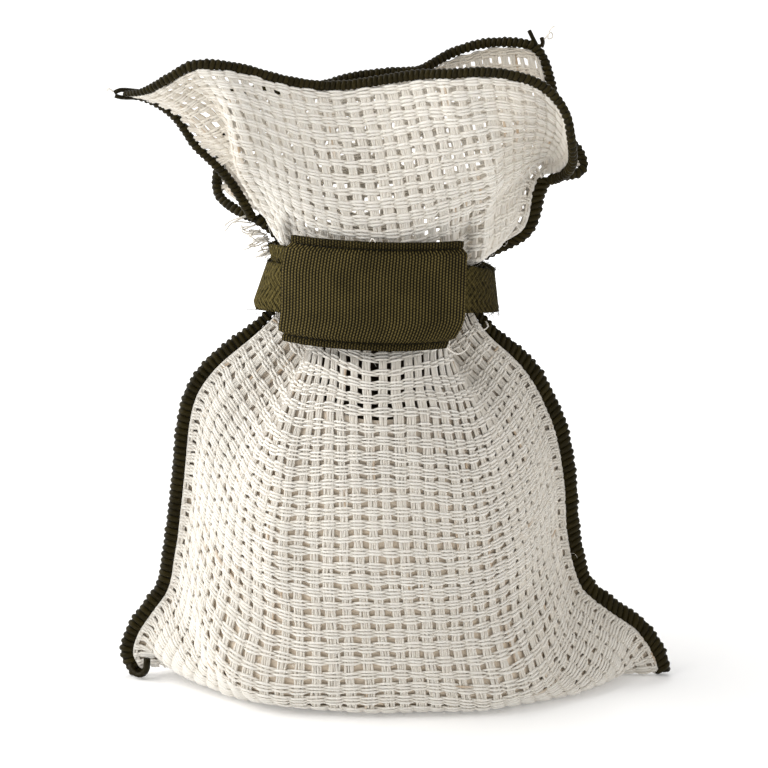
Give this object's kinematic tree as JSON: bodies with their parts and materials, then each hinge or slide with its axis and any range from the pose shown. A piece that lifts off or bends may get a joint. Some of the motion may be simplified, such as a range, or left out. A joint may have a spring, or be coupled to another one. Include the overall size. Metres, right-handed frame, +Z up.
{
  "type": "mesh drawstring pouch",
  "caption": "Small open-weave cloth pouch that stands by itself, overlocked at its edges, its neck gathered in by a wound tape with a plain woven band over it.",
  "frame": {"origin": "middle of the pouch's footprint box, on the surface it stands on", "axes": "+Z up the pouch, -Y towards the side with the woven band, +X to the right of that side"},
  "size_m": [0.1522, 0.0708, 0.1745],
  "materials": {
    "cloth": "matte open basket weave",
    "overlock": "matte thread",
    "tape": "matte herringbone",
    "band": "matte ribbed weave"
  },
  "bodies": {
    "root": {"pouch_cloth": "cloth", "side_seam_left": "overlock", "side_seam_right": "overlock", "front_edge": "overlock", "back_edge": "overlock", "neck_tape": "tape", "label_band": "band"}
  },
  "joints": []
}
